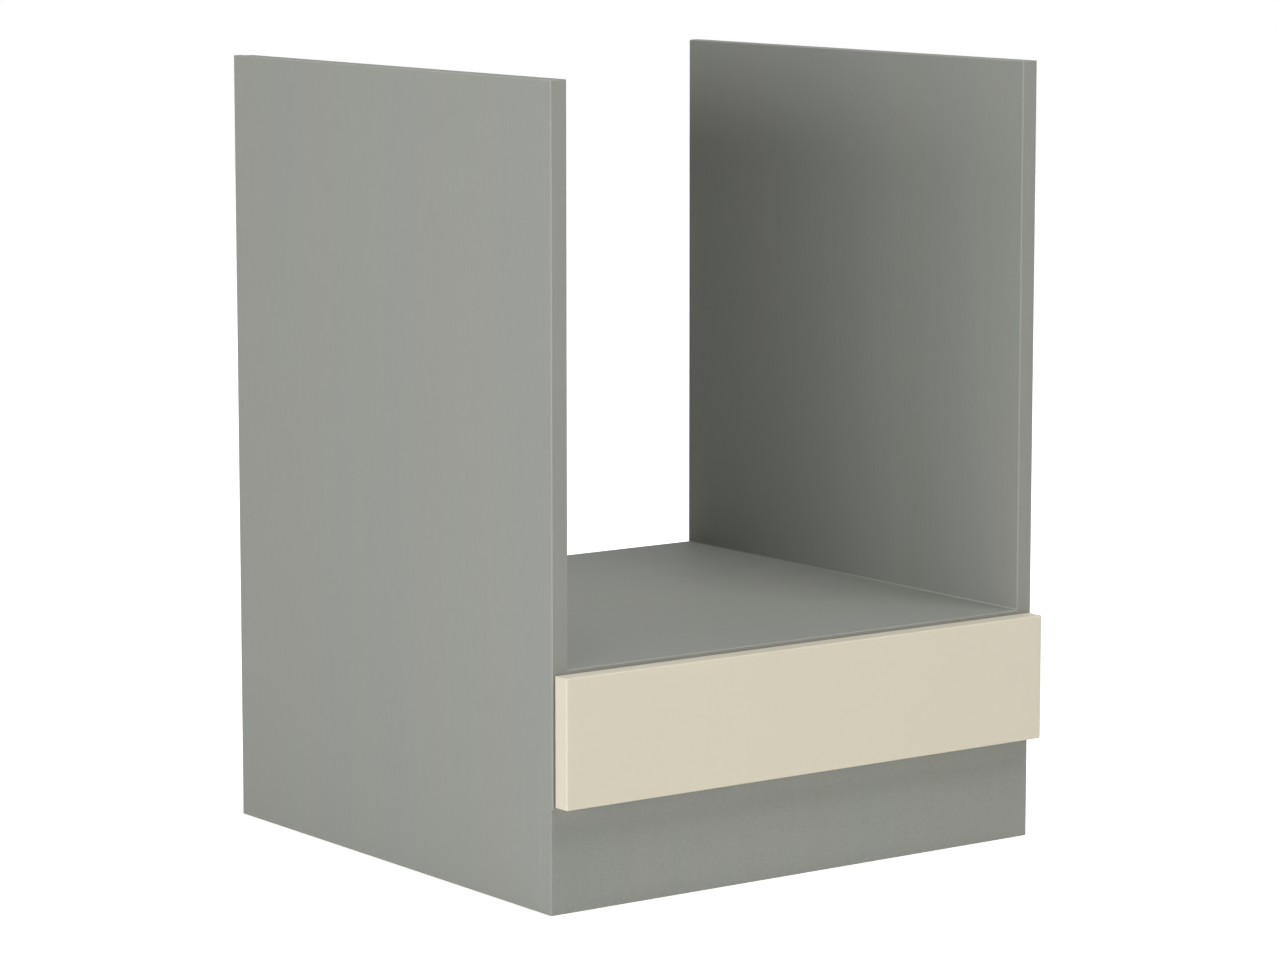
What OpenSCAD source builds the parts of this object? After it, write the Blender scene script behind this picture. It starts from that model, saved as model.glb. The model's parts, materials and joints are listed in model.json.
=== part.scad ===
// Oven base cabinet: an open niche for an oven above a shallow drawer, with a plinth below.
// Millimetres. +X is to the right, +Y to the back and +Z up.
// The origin is on the floor, under the middle of the whole cabinet.

/* [Cabinet] */
// Width over the two side panels
cab_w = 600; // [450:1:900]
// Height of the side panels
cab_h = 800; // [720:1:900]
// Depth of the side panels
cab_d = 570; // [535:1:650]
// Thickness of the sides, the shelf and the bottom
board_t = 18; // [16:0.5:22]
// Thickness of the edging on the front edges
edging_t = 0.8; // [0.4:0.1:2]
// Clear height between the bottom and the shelf
drawer_space_h = 98.5; // [94:0.5:180]

/* [Plinth] */
// Height of the plinth
plinth_h = 104; // [70:1:160]
// Thickness of the plinth
plinth_t = 18; // [16:0.5:22]
// Distance of the plinth behind the front edges of the sides
plinth_recess = 3; // [0:0.5:60]
// Length of each leg of the angle brackets behind the plinth
angle_leg = 30; // [24:1:40]
// Width of the angle brackets
angle_w = 36; // [30:1:60]
// Thickness of the angle brackets
angle_t = 2; // [1.5:0.1:3]
// Distance of the angle brackets from the side panels
angle_inset = 115; // [60:1:160]

/* [Back panel] */
// Thickness of the back panel
back_t = 3; // [2.5:0.1:5]
// Depth of the rebate behind the boards
rebate_d = 8; // [6:0.5:15]
// Width of the rebate into each side panel
rebate_w = 9; // [6:0.5:11]
// Length of the nails
nail_l = 20; // [15:1:30]
// Thickness of the nails
nail_d = 1.4; // [1:0.1:2]

/* [Drawer front] */
// Thickness of the drawer front
front_t = 19; // [16:0.5:25]
// Distance of each end of the drawer front from the outside of the cabinet
front_side_gap = 2; // [0.5:0.5:4]
// Distance of its top edge below the top of the shelf
front_top_drop = 3.8; // [1:0.1:8]
// Distance of its bottom edge above the plinth
front_bottom_rise = 2.4; // [0:0.1:6]
// Gap between the drawer front and the side panels
front_gap = 1.5; // [0.8:0.1:3]
// Diameter of the bumpers in that gap
bumper_d = 8; // [6:0.5:10]
// Distance of the bumpers from the top and bottom of the drawer front
bumper_inset = 18; // [10:1:30]

/* [Drawer box] */
// Height of the steel drawer sides
wall_h = 86; // [70:1:90]
// Thickness of the sheet steel
sheet_t = 1.2; // [0.8:0.1:1.3]
// Clearance under the drawer
under_gap = 5; // [3:0.5:7]
// Thickness of the drawer's bottom and back boards
drawer_board_t = 16; // [14:0.5:18]
// Width of the ledge under the drawer bottom
ledge_w = 14; // [10:0.5:20]
// Width of the turned-out top edge of the drawer sides
hem_w = 9; // [6:0.5:11]
// Height of the lip on that edge
hem_lip = 6; // [3:0.5:8]
// Width of the tabs behind the drawer back
tab_w = 22; // [18:1:40]
// Length of the front brackets along the drawer side
bracket_l = 40; // [30:1:60]
// Width of the front brackets on the drawer front
bracket_w = 20; // [16:1:30]
// Thickness of the front brackets
bracket_t = 1.5; // [1:0.1:2.5]

/* [Runners] */
// Length of the runners
runner_l = 500; // [400:1:525]
// Distance of the runners behind the front edges
runner_setback = 2; // [1:0.5:8]
// Height of the runners above the bottom panel
runner_rise = 6; // [4:0.5:9]
// Gap between a side panel and a drawer side
runner_gap = 13; // [12.5:0.1:16]
// Diameter of the rollers
roller_d = 20; // [17:0.5:22]
// Distance of the rollers from the ends of the runners
roller_inset = 14; // [12:0.5:20]
// Diameter of the roller pins
pin_d = 5; // [4:0.1:6]
// Part of the runner's length that stays in the cabinet
travel_loss = 115; // [90:1:200]

/* [Fixings] */
// Diameter of the wooden dowels
dowel_d = 8; // [6:0.5:9]
// Length of the wooden dowels
dowel_l = 30; // [26:1:40]
// Distance of the dowels from the front and back edges
dowel_inset = 37; // [25:1:50]
// Distance of the plinth dowels from its top and bottom edges
plinth_dowel_inset = 25; // [15:1:28]
// Distance of the cam locks from the front and back edges
cam_inset = 101; // [75:1:160]
// Diameter of the cam locks
cam_d = 15; // [12:0.5:18]
// Distance of the cam locks from the side panels
cam_setback = 34; // [24:1:40]
// Diameter of the cam bolts in the side panels
bolt_d = 6; // [5:0.1:7]
// Diameter of the screws
screw_d = 3.5; // [3:0.1:4]
// Length of the screws under the head
screw_l = 13; // [10:0.5:14]
// Length of the screws between drawer bottom and drawer back
long_screw_l = 35; // [30:1:50]
// Diameter of the bracket rivets
rivet_d = 4; // [3:0.1:5]

/* [Hidden] */
$fn = 48;

// Clearances
bore_fit = 0.05;    // radial, between a fixing or pin and its bore
bore_end = 0.3;     // beyond the end of a fixing in a blind bore
bore_skin = 6;      // wood left behind a blind bore
run_play = 0.2;     // between a roller and its track
side_play = 0.3;    // beside a roller
board_play = 0.4;   // between the drawer boards and the steel sides
back_play = 0.5;    // between the back panel and the ends of its rebates
back_trim = 1;      // back panel below the top of the shelf
bumper_play = 0.1;  // between the bumpers and the side panels
channel_play = 2;   // between the cabinet runners and the drawer sides
channel_head = 1.4; // room above a roller in its channel
track_play = 1.6;   // above the channels and beside the side panels, around the drawer's tracks
cut = 1;            // how far a cutting shape runs past a face

// Colours
grey_board = [0.60, 0.61, 0.58];
grey_edging = [0.57, 0.57, 0.53];
hardboard = [0.62, 0.50, 0.38];
cream = [0.84, 0.81, 0.73];
white_board = [0.90, 0.90, 0.88];
white_steel = [0.86, 0.87, 0.87];
zinc = [0.72, 0.73, 0.74];
beech = [0.80, 0.66, 0.46];
nylon = [0.93, 0.93, 0.91];
clear_rubber = [0.80, 0.82, 0.82];

// Planes of the cabinet
total_d = cab_d + front_gap + front_t;
door_y = -total_d / 2;                    // face of the drawer front
front_y = door_y + front_t + front_gap;   // front edges of the side panels
back_y = total_d / 2;                     // back edges of the side panels
core_y = front_y + edging_t;              // where the boards start behind their edging
board_y1 = back_y - rebate_d;             // back edges of the shelf and the bottom
inner_x = cab_w / 2 - board_t;            // inner faces of the side panels
side_x = cab_w / 2 - board_t / 2;         // middle of a side panel
floor_z = plinth_h + board_t;             // top of the bottom panel
shelf_z = floor_z + drawer_space_h;       // underside of the shelf
shelf_top = shelf_z + board_t;
plinth_y1 = front_y + plinth_recess + plinth_t;
joint_zs = [plinth_h + board_t / 2, shelf_z + board_t / 2];

// Bores in the boards
side_depth = board_t - bore_skin;         // of dowels and bolts in a side panel
plinth_depth = plinth_t - bore_skin;      // of dowels in the plinth
cam_over = 5;                             // height of a cam lock above the bolt's axis
cam_h = board_t / 2 + cam_over;
bolt_bore_d = 8;                          // bore for the bolt in the end of a board
bolt_neck_d = 5;
bolt_head_d = 6.4;
bolt_head_l = 4;
bolt_flange_t = 1.5;
bolt_head_play = 0.3;                     // around the bolt's head in the cam
bolt_reach = 2;                           // of the bolt's head past the middle of the cam
cam_slot = 2;                             // width and depth of the slots in a cam lock

// Heads of the fixings
fixing_chamfer = 1;                       // on the ends of dowels and cam bolts
head_d = 2 * screw_d;
head_h = 1.4;
head_edge_h = 0.6;                        // of a pan head at its rim
crown_in = 1;                             // from the rim of a head to its flat crown
recess_in = 1.4;                          // from the rim of a head to its cross recess
recess_w = 0.8;
recess_h = 0.8;
tip_l = 2.5;
nail_head_d = 2.2 * nail_d;
nail_head_t = 0.6;
rivet_head_d = 1.8 * rivet_d;
rivet_head_t = 1;

// Drawer front
front_w = cab_w - 2 * front_side_gap;
front_z0 = plinth_h + front_bottom_rise;
front_z1 = shelf_top - front_top_drop;
front_back_y = door_y + front_t;

// Cabinet runners, measured from the side panel's inner face
channel_w = runner_gap - channel_play;
channel_h = roller_d + 2 * sheet_t + run_play + channel_head;
channel_z = floor_z + runner_rise;
channel_lip = 2.5;
pin_head_t = 0.8;
pin_shoulder = 1.5;                       // of a pin's head around its shank
pin_head_d = pin_d + 2 * pin_shoulder;
roller_u0 = sheet_t + head_h + 2 * side_play + pin_head_t;
roller_u1 = channel_w - sheet_t - side_play;
roller_w = roller_u1 - roller_u0;
runner_y0 = front_y + runner_setback;
runner_y1 = runner_y0 + runner_l;
runner_screw_inset = 35;                  // of the outer screws from the runner's ends
stop_h = 4;                               // of the stop under the upper flange

// Drawer box
wall_u = runner_gap;                      // outer face of a drawer side
wall_x = inner_x - wall_u - sheet_t;      // its inner face
drawer_z = floor_z + under_gap;
drawer_y1 = front_back_y + runner_l;      // back end of the drawer sides
deck_z0 = drawer_z + sheet_t;             // underside of the drawer bottom
deck_z1 = deck_z0 + drawer_board_t;
deck_x = wall_x - board_play;
wall_z1 = drawer_z + wall_h;
track_z = channel_z + channel_h + track_play;  // underside of the roller track
track_lip = 4;
back_drop = 3;                            // drawer back below the drawer sides
bracket_edge = 4;                         // between brackets or tabs and what is near them
tab_z0 = deck_z1 + bracket_edge;
tab_z1 = wall_z1 - hem_lip - bracket_edge;
bracket_z0 = deck_z1 + bracket_edge;
bracket_z1 = wall_z1 - sheet_t - bracket_edge;
fixing_edge = 9;                          // of a screw from the end of its bracket
rivet_zs = [track_z + sheet_t + fixing_edge, bracket_z1 - fixing_edge];
bracket_screw_zs = [bracket_z0 + fixing_edge, bracket_z1 - fixing_edge];
tab_screw_zs = [tab_z0 + fixing_edge, tab_z1 - fixing_edge];
deck_screw_inset = 60;                    // of the outer long screws from the board's ends

// Rollers
roller_r = roller_d / 2;
travel = runner_l - travel_loss;
cabinet_roller_y = runner_y0 + roller_inset;
cabinet_roller_z = track_z - run_play - roller_r;
drawer_roller_y = drawer_y1 - roller_inset;
drawer_roller_z = channel_z + sheet_t + run_play + roller_r;
stop_y = drawer_roller_y - travel - roller_r - side_play - sheet_t;

// ---- helpers ----

module both_sides() {
  children();
  mirror([1, 0, 0]) children();
}

module right_hand() {
  mirror([1, 0, 0]) children();
}

// A 2-D shape in X and Z, drawn from y0 to y1
module along_y(y0, y1) {
  translate([0, y1, 0]) rotate([90, 0, 0]) linear_extrude(y1 - y0) children();
}

// A shape turned about X from points of radius and place along X
module turned_x(points) {
  rotate([0, 90, 0]) rotate_extrude() polygon(points);
}

// Cross that cuts the recess into a screw head whose crown is at z
module cross_recess(z) {
  reach = head_d / 2 - recess_in;
  for (turn = [0, 90])
    rotate([0, 0, turn]) translate([-reach, -recess_w / 2, z - cut])
      cube([2 * reach, recess_w, recess_h + cut]);
}

// Screw along +Z: its head ends and its shank starts at the origin
module screw(length) {
  difference() {
    rotate_extrude() polygon([
      [0, -head_h], [head_d / 2 - crown_in, -head_h], [head_d / 2, -head_edge_h], [head_d / 2, 0],
      [screw_d / 2, 0], [screw_d / 2, length - tip_l], [0, length]
    ]);
    cross_recess(-head_h);
  }
}

module screw_bore(length) {
  translate([0, 0, -cut]) cylinder(d = screw_d + 2 * bore_fit, h = length + bore_end + cut);
}

// Dowel along +X with chamfered ends, from -depth to the rest of its length
module dowel(depth) {
  end_r = dowel_d / 2 - fixing_chamfer;
  translate([-depth, 0, 0]) turned_x([
    [0, 0], [end_r, 0], [dowel_d / 2, fixing_chamfer],
    [dowel_d / 2, dowel_l - fixing_chamfer], [end_r, dowel_l], [0, dowel_l]
  ]);
}

module dowel_bore(depth) {
  translate([-depth - bore_end, 0, 0]) rotate([0, 90, 0])
    cylinder(d = dowel_d + 2 * bore_fit, h = dowel_l + 2 * bore_end);
}

// ---- places of the fixings, on the left where they come in pairs ----

module at_board_ends(inset) {
  for (z = joint_zs, y = [core_y + inset, board_y1 - inset])
    translate([-inner_x, y, z]) children();
}

module at_plinth_dowels() {
  for (z = [plinth_dowel_inset, plinth_h - plinth_dowel_inset])
    translate([-side_x, plinth_y1, z]) rotate([0, 0, 90]) children();
}

module at_runner_screws() {
  y0 = runner_y0 + runner_screw_inset;
  y1 = runner_y1 - runner_screw_inset;
  for (y = [y0, (y0 + y1) / 2, y1])
    translate([-inner_x + sheet_t, y, channel_z + channel_h / 2]) rotate([0, -90, 0]) children();
}

module at_side_nails() {
  rows = 3;
  step = drawer_space_h / rows;
  for (k = [0:rows - 1])
    translate([-inner_x - rebate_w / 2, board_y1 + back_t, floor_z + (k + 0.5) * step]) children();
}

module at_board_nails() {
  columns = 5;
  step = 2 * inner_x / columns;
  for (k = [0:columns - 1], z = joint_zs)
    translate([-inner_x + (k + 0.5) * step, board_y1 + back_t, z]) children();
}

module at_angles() {
  translate([-inner_x + angle_inset, plinth_y1, plinth_h]) children();
}

module at_angle_screws() {
  reach = (angle_leg + angle_t) / 2;
  for (x = [-angle_w / 4, angle_w / 4]) {
    translate([x, angle_t, -reach]) rotate([90, 0, 0]) children();
    translate([x, reach, -angle_t]) children();
  }
}

module at_bracket_screws() {
  for (z = bracket_screw_zs)
    translate([-wall_x + bracket_t + bracket_w / 2, front_back_y + bracket_t, z])
      rotate([90, 0, 0]) children();
}

module at_rivets() {
  for (z = rivet_zs, y = [bracket_l / 2, bracket_l - rivet_head_d])
    translate([-wall_x, front_back_y + y, z]) children();
}

module at_tab_screws() {
  for (z = tab_screw_zs)
    translate([-wall_x + tab_w / 2, drawer_y1 + sheet_t, z]) rotate([90, 0, 0]) children();
}

module at_deck_screws() {
  for (x = [-deck_x + deck_screw_inset, 0, deck_x - deck_screw_inset])
    translate([x, drawer_y1 - drawer_board_t / 2, deck_z0]) children();
}

// ---- fixings that boards are bored for ----

// Cam bolt along +X from the inner face of a side panel
module cam_bolt() {
  head_x = cam_setback + bolt_reach - bolt_head_l;
  turned_x([
    [0, -side_depth], [bolt_d / 2 - fixing_chamfer, -side_depth],
    [bolt_d / 2, fixing_chamfer - side_depth], [bolt_d / 2, 0], [bolt_bore_d / 2 - bore_fit, 0],
    [bolt_bore_d / 2 - bore_fit, bolt_flange_t], [bolt_neck_d / 2, bolt_flange_t],
    [bolt_neck_d / 2, head_x], [bolt_head_d / 2, head_x],
    [bolt_head_d / 2, head_x + bolt_head_l], [0, head_x + bolt_head_l]
  ]);
}

module cam_lock() {
  translate([cam_setback, 0, -board_t / 2]) difference() {
    cylinder(d = cam_d, h = cam_h);
    translate([-cam_d, 0, board_t / 2]) rotate([0, 90, 0])
      cylinder(d = bolt_head_d + 2 * bolt_head_play, h = cam_d + bolt_reach + bolt_head_play);
    for (turn = [45, 135])
      rotate([0, 0, turn]) translate([-cam_d / 4, -cam_slot / 2, -cut])
        cube([cam_d / 2, cam_slot, cam_slot + cut]);
  }
}

module cam_bores() {
  translate([-side_depth - bore_end, 0, 0]) rotate([0, 90, 0])
    cylinder(d = bolt_d + 2 * bore_fit, h = side_depth + bore_end + cut);
  rotate([0, 90, 0]) cylinder(d = bolt_bore_d, h = cam_setback);
  translate([cam_setback, 0, -board_t / 2 - cut])
    cylinder(d = cam_d + 2 * bore_fit, h = cam_h + bore_end + cut);
}

module nail() {
  rotate([90, 0, 0]) rotate_extrude() polygon([
    [0, -nail_head_t], [nail_head_d / 2, -nail_head_t], [nail_head_d / 2, 0],
    [nail_d / 2, 0], [nail_d / 2, nail_l - nail_d], [0, nail_l]
  ]);
}

module nail_bore() {
  rotate([90, 0, 0]) translate([0, 0, -cut])
    cylinder(d = nail_d + 2 * bore_fit, h = nail_l + bore_end + cut);
}

// ---- cabinet ----

module left_side() {
  color(grey_board) difference() {
    translate([-cab_w / 2, core_y, 0]) cube([board_t, cab_d - edging_t, cab_h]);
    translate([-cab_w / 2 - cut, front_y - cut, -cut])
      cube([board_t + 2 * cut, plinth_y1 - front_y + cut, plinth_h + cut]);
    translate([-inner_x - rebate_w, board_y1, -cut])
      cube([rebate_w + cut, rebate_d + cut, cab_h + 2 * cut]);
    at_board_ends(cam_inset) cam_bores();
    at_board_ends(dowel_inset) dowel_bore(side_depth);
    at_plinth_dowels() dowel_bore(plinth_depth);
    at_runner_screws() screw_bore(screw_l);
    at_side_nails() nail_bore();
  }
}

module right_side() {
  right_hand() left_side();
}

// Bottom or shelf with its underside at z
module level_board(z) {
  difference() {
    translate([-inner_x, core_y, z]) cube([2 * inner_x, board_y1 - core_y, board_t]);
    both_sides() {
      at_board_ends(cam_inset) cam_bores();
      at_board_ends(dowel_inset) dowel_bore(side_depth);
    }
    at_board_nails() nail_bore();
  }
}

module oven_shelf() {
  color(grey_board) level_board(shelf_z);
}

module bottom_panel() {
  color(grey_board) difference() {
    level_board(plinth_h);
    both_sides() at_angles() at_angle_screws() screw_bore(screw_l);
  }
}

module plinth() {
  color(grey_board) difference() {
    translate([-cab_w / 2, plinth_y1 - plinth_t, 0]) cube([cab_w, plinth_t, plinth_h]);
    both_sides() {
      at_plinth_dowels() dowel_bore(plinth_depth);
      at_angles() at_angle_screws() screw_bore(screw_l);
    }
  }
}

module back_panel() {
  half_w = inner_x + rebate_w - back_play;
  color(hardboard) difference() {
    translate([-half_w, board_y1, plinth_h])
      cube([2 * half_w, back_t, shelf_top - back_trim - plinth_h]);
    both_sides() at_side_nails() nail_bore();
    at_board_nails() nail_bore();
  }
}

module left_side_edging() {
  color(grey_edging) translate([-cab_w / 2, front_y, plinth_h])
    cube([board_t, edging_t, cab_h - plinth_h]);
}

module right_side_edging() {
  right_hand() left_side_edging();
}

module board_edging(z) {
  color(grey_edging) translate([-inner_x, front_y, z]) cube([2 * inner_x, edging_t, board_t]);
}

module shelf_edging() {
  board_edging(shelf_z);
}

module bottom_edging() {
  board_edging(plinth_h);
}

module wooden_dowels() {
  color(beech) both_sides() {
    at_board_ends(dowel_inset) dowel(side_depth);
    at_plinth_dowels() dowel(plinth_depth);
  }
}

module cam_locks() {
  color(zinc) both_sides() at_board_ends(cam_inset) cam_lock();
}

module cam_bolts() {
  color(zinc) both_sides() at_board_ends(cam_inset) cam_bolt();
}

module plinth_angles() {
  color(zinc) both_sides() at_angles() difference() {
    union() {
      translate([-angle_w / 2, 0, -angle_leg]) cube([angle_w, angle_t, angle_leg]);
      translate([-angle_w / 2, 0, -angle_t]) cube([angle_w, angle_leg, angle_t]);
    }
    at_angle_screws() screw_bore(screw_l);
  }
}

module plinth_angle_screws() {
  color(zinc) both_sides() at_angles() at_angle_screws() screw(screw_l);
}

module back_panel_nails() {
  color(zinc) {
    both_sides() at_side_nails() nail();
    at_board_nails() nail();
  }
}

// ---- cabinet runners ----

module left_cabinet_runner() {
  upper_y0 = cabinet_roller_y + roller_r + channel_play;
  color(white_steel) difference() {
    union() {
      along_y(runner_y0, runner_y1) translate([-inner_x, channel_z]) {
        square([sheet_t, channel_h]);
        square([channel_w, sheet_t]);
        translate([channel_w - sheet_t, 0]) square([sheet_t, sheet_t + channel_lip]);
      }
      along_y(upper_y0, runner_y1) translate([-inner_x, channel_z + channel_h - sheet_t]) {
        square([channel_w, sheet_t]);
        translate([channel_w - sheet_t, -channel_lip]) square([sheet_t, sheet_t + channel_lip]);
      }
      along_y(stop_y, stop_y + sheet_t) translate([-inner_x, channel_z + channel_h - sheet_t])
        translate([0, -stop_h]) square([channel_w, stop_h + sheet_t]);
    }
    at_runner_screws() screw_bore(screw_l);
    translate([-inner_x, cabinet_roller_y, cabinet_roller_z]) rotate([0, 90, 0])
      translate([0, 0, -cut]) cylinder(d = pin_d + 2 * bore_fit, h = sheet_t + 2 * cut);
  }
}

module right_cabinet_runner() {
  right_hand() left_cabinet_runner();
}

module runner_screws() {
  color(zinc) both_sides() at_runner_screws() screw(screw_l);
}

// Pin on the channel's web that the track runs over
module cabinet_roller_pins() {
  seat_end = roller_u1 + side_play;
  color(zinc) both_sides() translate([-inner_x, cabinet_roller_y, cabinet_roller_z]) turned_x([
    [0, 0], [pin_d / 2, 0], [pin_d / 2, sheet_t], [pin_head_d / 2, sheet_t],
    [pin_head_d / 2, roller_u0 - side_play], [pin_d / 2, roller_u0 - side_play],
    [pin_d / 2, seat_end], [pin_head_d / 2, seat_end],
    [pin_head_d / 2, seat_end + pin_head_t], [0, seat_end + pin_head_t]
  ]);
}

// Nylon roller along X, from the gap's narrow side
module roller() {
  hub_r = pin_d / 2 + 2;
  rim_r = roller_r - 2.5;
  dish = 0.8;                 // depth between the hub and the rim
  chamfer = 0.5;
  bore_r = pin_d / 2 + bore_fit;
  color(nylon) translate([roller_u0, 0, 0]) turned_x([
    [bore_r, 0], [hub_r, 0], [hub_r, dish], [rim_r, dish], [rim_r, 0], [roller_r - chamfer, 0],
    [roller_r, chamfer], [roller_r, roller_w - chamfer], [roller_r - chamfer, roller_w],
    [rim_r, roller_w], [rim_r, roller_w - dish], [hub_r, roller_w - dish], [hub_r, roller_w],
    [bore_r, roller_w]
  ]);
}

module left_cabinet_roller() {
  translate([-inner_x, cabinet_roller_y, cabinet_roller_z]) roller();
}

module right_cabinet_roller() {
  right_hand() left_cabinet_roller();
}

// ---- drawer ----

module drawer_front() {
  color(cream) difference() {
    translate([-front_w / 2, door_y, front_z0]) cube([front_w, front_t, front_z1 - front_z0]);
    both_sides() at_bracket_screws() screw_bore(screw_l);
  }
}

// Outline of a folded steel side, from the side panel's inner face
module drawer_side_section() {
  translate([wall_u, drawer_z]) square([sheet_t, wall_h]);
  translate([wall_u, drawer_z]) square([ledge_w, sheet_t]);
  translate([track_play, track_z]) square([wall_u - track_play + sheet_t, sheet_t]);
  translate([track_play, track_z]) square([sheet_t, track_lip]);
  translate([wall_u + sheet_t - hem_w, wall_z1 - sheet_t]) square([hem_w, sheet_t]);
  translate([wall_u + sheet_t - hem_w, wall_z1 - hem_lip]) square([sheet_t, hem_lip]);
}

module left_drawer_side() {
  color(white_steel) difference() {
    union() {
      along_y(front_back_y, drawer_y1) translate([-inner_x, 0]) drawer_side_section();
      translate([-inner_x + wall_u, drawer_y1, tab_z0]) cube([tab_w, sheet_t, tab_z1 - tab_z0]);
    }
    at_rivets() rivet_bore();
    at_tab_screws() screw_bore(screw_l);
    translate([-wall_x + cut, drawer_roller_y, drawer_roller_z]) rotate([0, -90, 0])
      cylinder(d = pin_d + 2 * bore_fit, h = sheet_t + 2 * cut);
  }
}

module right_drawer_side() {
  right_hand() left_drawer_side();
}

module drawer_bottom() {
  color(white_board) difference() {
    translate([-deck_x, front_back_y, deck_z0])
      cube([2 * deck_x, drawer_y1 - front_back_y, drawer_board_t]);
    at_deck_screws() countersunk_bore(long_screw_l);
  }
}

module drawer_back() {
  color(white_board) difference() {
    translate([-deck_x, drawer_y1 - drawer_board_t, deck_z1])
      cube([2 * deck_x, drawer_board_t, wall_z1 - back_drop - deck_z1]);
    at_deck_screws() countersunk_bore(long_screw_l);
    both_sides() at_tab_screws() screw_bore(screw_l);
  }
}

module left_front_bracket() {
  tall = bracket_z1 - bracket_z0;
  color(zinc) difference() {
    translate([-wall_x, front_back_y, bracket_z0]) {
      cube([bracket_t, bracket_l, tall]);
      cube([bracket_t + bracket_w, bracket_t, tall]);
    }
    at_bracket_screws() screw_bore(screw_l);
    at_rivets() rivet_bore();
  }
}

module right_front_bracket() {
  right_hand() left_front_bracket();
}

module front_bracket_screws() {
  color(zinc) both_sides() at_bracket_screws() screw(screw_l);
}

// Rivet along X through the drawer side and its bracket
module rivet() {
  crown_r = rivet_head_d / 2 - crown_in;
  turned_x([
    [0, -sheet_t - rivet_head_t], [crown_r, -sheet_t - rivet_head_t],
    [rivet_head_d / 2, -sheet_t], [rivet_d / 2, -sheet_t], [rivet_d / 2, bracket_t],
    [rivet_head_d / 2, bracket_t], [crown_r, bracket_t + rivet_head_t],
    [0, bracket_t + rivet_head_t]
  ]);
}

module rivet_bore() {
  translate([-sheet_t - cut, 0, 0]) rotate([0, 90, 0])
    cylinder(d = rivet_d + 2 * bore_fit, h = sheet_t + bracket_t + 2 * cut);
}

module front_bracket_rivets() {
  color(zinc) both_sides() at_rivets() rivet();
}

module drawer_back_screws() {
  color(zinc) both_sides() at_tab_screws() screw(screw_l);
}

// Countersunk screw along +Z with its head flush at the origin
module countersunk_screw(length) {
  sink = head_d / 2 - screw_d / 2;
  difference() {
    rotate_extrude() polygon([
      [0, 0], [head_d / 2, 0], [screw_d / 2, sink], [screw_d / 2, length - tip_l], [0, length]
    ]);
    cross_recess(0);
  }
}

module countersunk_bore(length) {
  sink = head_d / 2 - screw_d / 2;
  rotate_extrude() polygon([
    [0, -cut], [head_d / 2 + bore_fit, -cut], [head_d / 2 + bore_fit, bore_fit],
    [screw_d / 2 + bore_fit, sink + bore_fit], [screw_d / 2 + bore_fit, length + bore_end],
    [0, length + bore_end]
  ]);
}

module drawer_bottom_screws() {
  color(zinc) at_deck_screws() countersunk_screw(long_screw_l);
}

// Pin on the drawer side whose roller runs in the channel
module drawer_roller_pins() {
  seat_u0 = roller_u0 - side_play;
  seat_u1 = roller_u1 + side_play;
  color(zinc) both_sides() translate([-inner_x, drawer_roller_y, drawer_roller_z]) turned_x([
    [0, seat_u0 - pin_head_t], [pin_head_d / 2, seat_u0 - pin_head_t],
    [pin_head_d / 2, seat_u0], [pin_d / 2, seat_u0], [pin_d / 2, seat_u1],
    [pin_head_d / 2, seat_u1], [pin_head_d / 2, wall_u], [pin_d / 2, wall_u],
    [pin_d / 2, wall_u + sheet_t], [0, wall_u + sheet_t]
  ]);
}

module left_drawer_roller() {
  translate([-inner_x, drawer_roller_y, drawer_roller_z]) roller();
}

module right_drawer_roller() {
  right_hand() left_drawer_roller();
}

module front_bumpers() {
  color(clear_rubber) both_sides()
    for (z = [front_z0 + bumper_inset, front_z1 - bumper_inset])
      translate([-side_x, front_back_y, z]) rotate([-90, 0, 0])
        cylinder(d = bumper_d, h = front_gap - bumper_play);
}

left_side();
right_side();
oven_shelf();
bottom_panel();
plinth();
back_panel();
left_side_edging();
right_side_edging();
shelf_edging();
bottom_edging();
wooden_dowels();
cam_locks();
cam_bolts();
plinth_angles();
plinth_angle_screws();
back_panel_nails();
left_cabinet_runner();
right_cabinet_runner();
runner_screws();
cabinet_roller_pins();
left_cabinet_roller();
right_cabinet_roller();
drawer_front();
left_drawer_side();
right_drawer_side();
drawer_bottom();
drawer_back();
left_front_bracket();
right_front_bracket();
front_bracket_screws();
front_bracket_rivets();
drawer_back_screws();
drawer_bottom_screws();
drawer_roller_pins();
front_bumpers();
left_drawer_roller();
right_drawer_roller();
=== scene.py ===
import json
import math
import bmesh
import bpy
from mathutils import Matrix, Vector

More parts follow.
